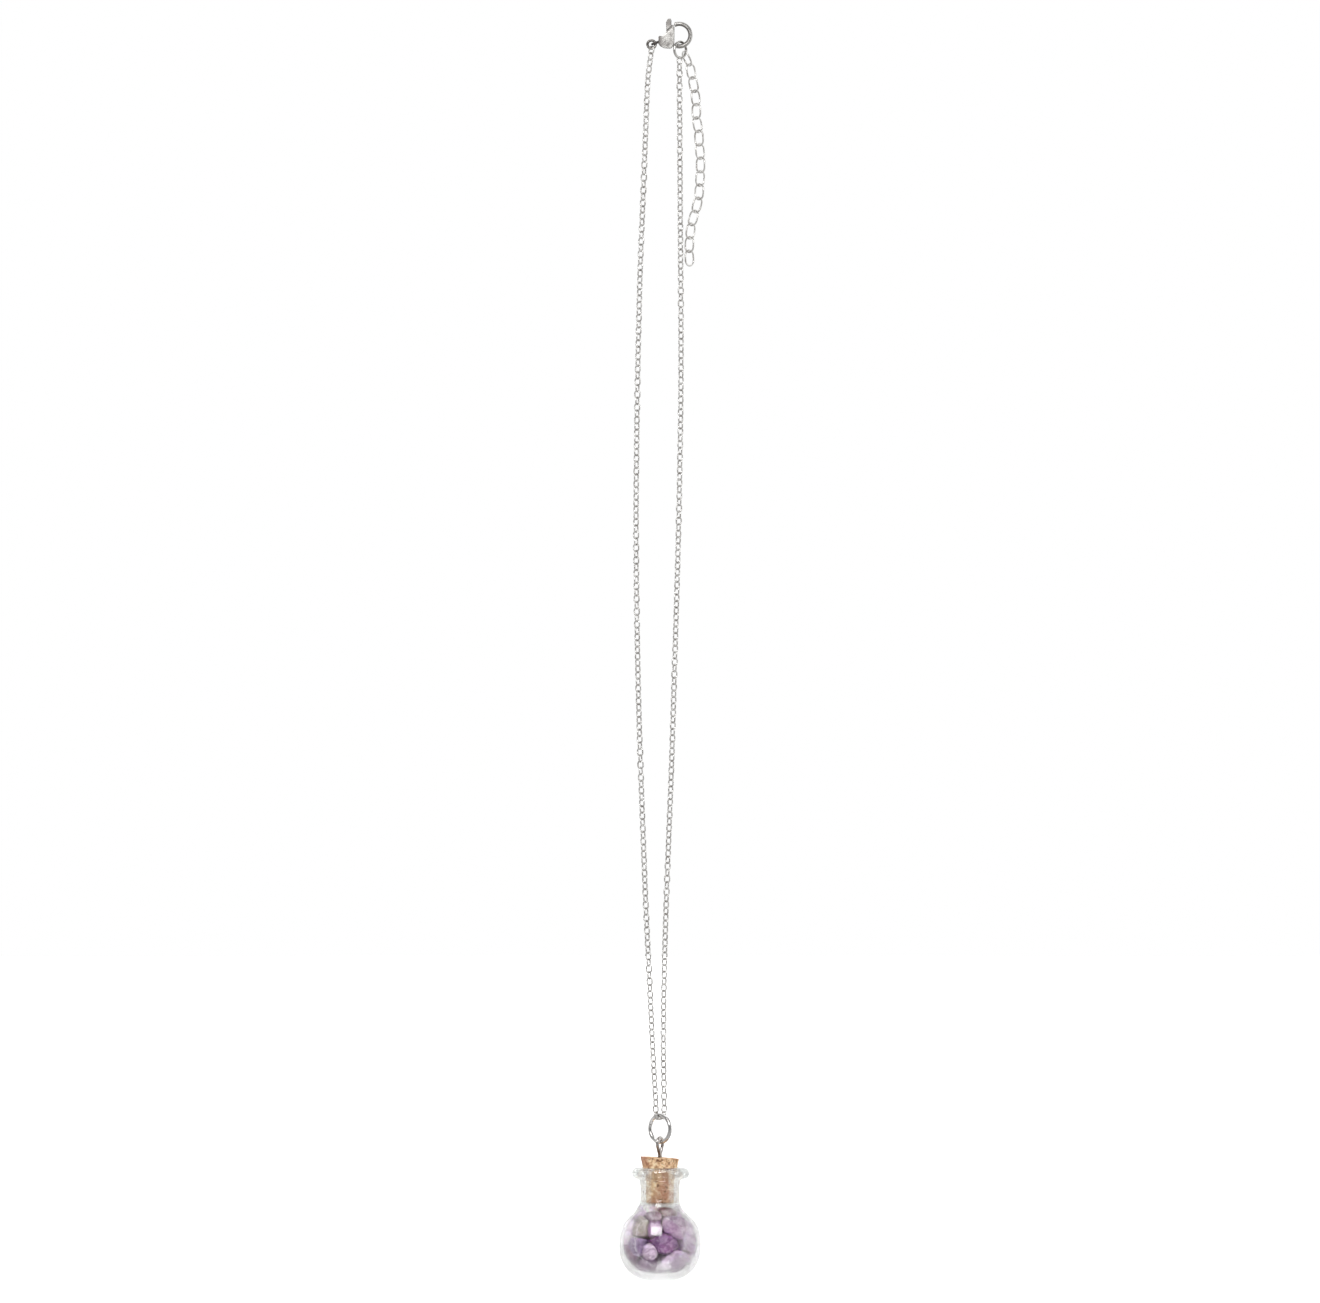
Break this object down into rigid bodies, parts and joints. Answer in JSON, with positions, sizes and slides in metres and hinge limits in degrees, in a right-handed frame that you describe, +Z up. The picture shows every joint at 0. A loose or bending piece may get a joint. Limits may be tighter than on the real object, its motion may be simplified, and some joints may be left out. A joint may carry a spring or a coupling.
{
  "type": "bottle pendant necklace",
  "caption": "Necklace with a corked glass bottle of tumbled violet stone chips, hung from a fine cable chain with a lobster clasp and an extension chain.",
  "frame": {"origin": "where the necklace hangs: on the underside of the clasp's body, inside the top of the loop", "axes": "+Z up the hanging necklace, from the bottle to the clasp; +X to the right and +Y away from the viewer as the clasp's hook points right"},
  "size_m": [0.0199, 0.0188, 0.2903],
  "materials": {
    "fine_chain": "bright silver-coloured plating",
    "clasp_metal": "polished silver-coloured plating, darker in the recesses",
    "ring_metal": "polished silver-coloured wire",
    "cork": "natural cork, matte, with darker pores",
    "glass": "clear blown glass",
    "stone_violet": "deep violet amethyst, tumbled",
    "stone_lilac": "lilac amethyst, tumbled",
    "stone_pale": "pale amethyst, tumbled, slightly cloudy"
  },
  "bodies": {
    "necklace": {"chain_left": "fine_chain", "chain_right": "fine_chain", "clasp_ring": "clasp_metal", "clasp_body": "clasp_metal", "clasp_pin": "clasp_metal", "end_ring": "ring_metal", "extension_chain": "ring_metal"},
    "trigger": {"clasp_lever": "clasp_metal"},
    "ring": {"pendant_ring": "ring_metal"},
    "bottle": {"screw_eye": "ring_metal", "cork": "cork", "bottle": "glass", "stone_01": "stone_pale", "stone_02": "stone_pale", "stone_03": "stone_violet", "stone_04": "stone_lilac", "stone_05": "stone_lilac", "stone_06": "stone_pale", "stone_07": "stone_violet", "stone_08": "stone_violet", "stone_09": "stone_pale", "stone_10": "stone_violet", "stone_11": "stone_lilac", "stone_12": "stone_pale", "stone_13": "stone_violet", "stone_14": "stone_pale", "stone_15": "stone_lilac", "stone_16": "stone_pale", "stone_17": "stone_pale", "stone_18": "stone_violet", "stone_19": "stone_pale", "stone_20": "stone_lilac", "stone_21": "stone_violet", "stone_22": "stone_pale", "stone_23": "stone_lilac", "stone_24": "stone_violet", "stone_25": "stone_pale", "stone_26": "stone_lilac", "stone_27": "stone_violet", "stone_28": "stone_pale", "stone_29": "stone_lilac", "stone_30": "stone_violet", "stone_31": "stone_pale", "stone_32": "stone_lilac", "stone_33": "stone_violet", "stone_34": "stone_pale", "stone_35": "stone_lilac", "stone_36": "stone_violet", "stone_37": "stone_pale"}
  },
  "joints": [
    {"name": "trigger_press", "type": "hinge", "parent": "necklace", "child": "trigger", "pos_m": [0.0015, 0, 0.0006], "axis": [0, -1, 0], "range_deg": [0, 26], "stiffness_Nm_per_rad": 0.001},
    {"name": "ring_swing", "type": "hinge", "parent": "necklace", "child": "ring", "pos_m": [0, 0, -0.2469], "axis": [0.682, 0.7314, 0], "range_deg": [-60, 60]},
    {"name": "bottle_swing", "type": "hinge", "parent": "ring", "child": "bottle", "pos_m": [0, 0, -0.2521], "axis": [-0.848, 0.5299, 0], "range_deg": [-60, 60]}
  ]
}
